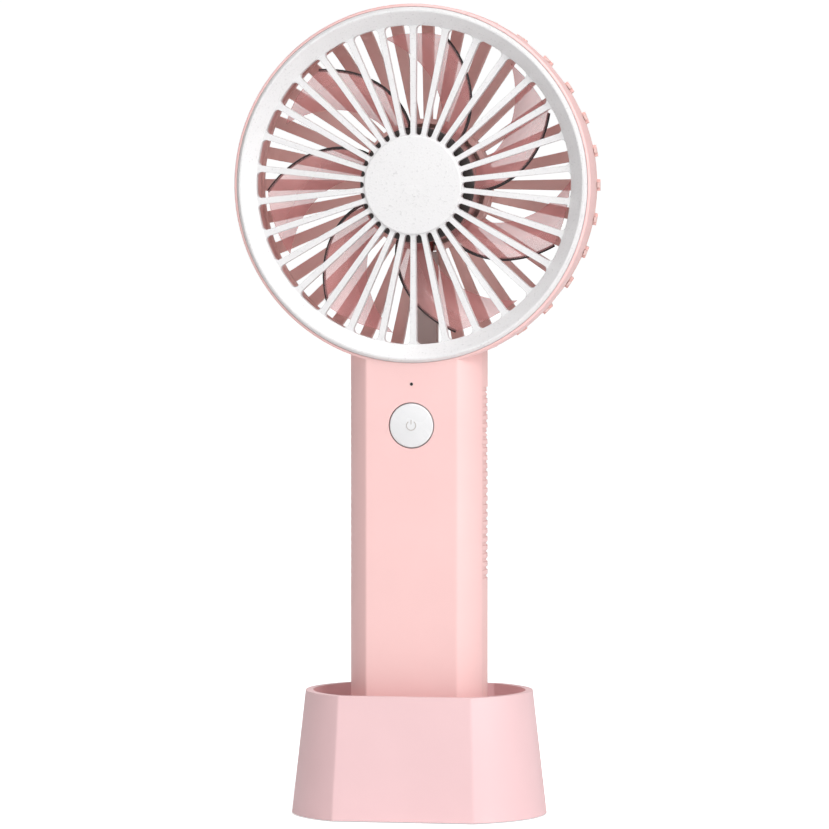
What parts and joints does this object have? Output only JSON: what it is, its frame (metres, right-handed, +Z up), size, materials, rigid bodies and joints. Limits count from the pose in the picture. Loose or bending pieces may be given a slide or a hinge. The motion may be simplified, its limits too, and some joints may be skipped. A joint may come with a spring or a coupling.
{
  "type": "handheld electric fan",
  "caption": "Handheld rechargeable fan with a round spoked head on a faceted handle, standing in a tapered dock.",
  "frame": {"origin": "middle of the dock's footprint, on the table", "axes": "+Z up, the grille and the button face -Y, +X to the right of someone facing the grille"},
  "size_m": [0.097, 0.052, 0.2185],
  "materials": {
    "dock_pink": "satin",
    "foot_rubber": "matte",
    "screw_steel": "satin",
    "front_pink": "satin",
    "rear_pink": "satin",
    "rib_pink": "satin",
    "duct_grey": "matte",
    "grille_white": "satin",
    "blade_pink": "clear",
    "hub_grey": "matte",
    "yoke_steel": "plated",
    "magnet_black": "matte",
    "shaft_steel": "ground",
    "tube_brass": "turned",
    "core_steel": "laminated",
    "winding_copper": "enamelled",
    "board_green": "satin",
    "lead_insulation": "satin",
    "cell_wrap": "gloss",
    "tab_nickel": "satin",
    "foam_grey": "matte",
    "button_white": "satin",
    "switch_black": "matte",
    "led_clear": "clear",
    "capacitor_aluminium": "satin"
  },
  "bodies": {
    "dock": {"dock_shell": "dock_pink", "dock_base_plate": "dock_pink", "dock_screws": "screw_steel", "dock_feet": "foot_rubber"},
    "fan": {"front_shell": "front_pink", "rear_shell": "rear_pink", "shell_screws": "screw_steel", "rear_grille": "rib_pink", "wire_duct": "duct_grey", "bearing_tube": "tube_brass", "front_bearing": "shaft_steel", "rear_bearing": "shaft_steel", "stator_core": "core_steel", "stator_windings": "winding_copper", "motor_board": "board_green", "motor_leads": "lead_insulation", "battery_cell": "cell_wrap", "battery_tabs": "tab_nickel", "battery_foam": "foam_grey", "battery_leads": "lead_insulation", "control_board": "board_green", "board_screws": "screw_steel", "tact_switch": "switch_black", "status_led": "led_clear", "light_pipe": "led_clear", "controller_chip": "switch_black", "power_inductor": "switch_black", "capacitors": "capacitor_aluminium", "charge_board": "board_green", "board_pins": "tab_nickel", "usb_socket": "tab_nickel"},
    "impeller": {"impeller": "blade_pink", "hub_cap": "hub_grey", "rotor_yoke": "yoke_steel", "magnet_ring": "magnet_black", "motor_shaft": "shaft_steel", "shaft_clip": "shaft_steel"},
    "grille": {"front_grille": "grille_white", "centre_cap": "grille_white"},
    "button": {"power_button": "button_white", "switch_plunger": "switch_black"}
  },
  "joints": [
    {"name": "lift_out", "type": "slide", "parent": "dock", "child": "fan", "axis": [0, 0, 1], "range_m": [0, 0.05]},
    {"name": "impeller_spin", "type": "hinge", "parent": "fan", "child": "impeller", "pos_m": [0, 0, 0.17], "axis": [0, 1, 0], "continuous": true},
    {"name": "grille_twist", "type": "hinge", "parent": "fan", "child": "grille", "pos_m": [0, 0, 0.17], "axis": [0, 1, 0], "range_deg": [0, 15]},
    {"name": "button_press", "type": "slide", "parent": "fan", "child": "button", "axis": [0, 1, 0], "range_m": [0, 0.0004], "stiffness_N_per_m": 3000, "springref_m": -0.0002}
  ]
}
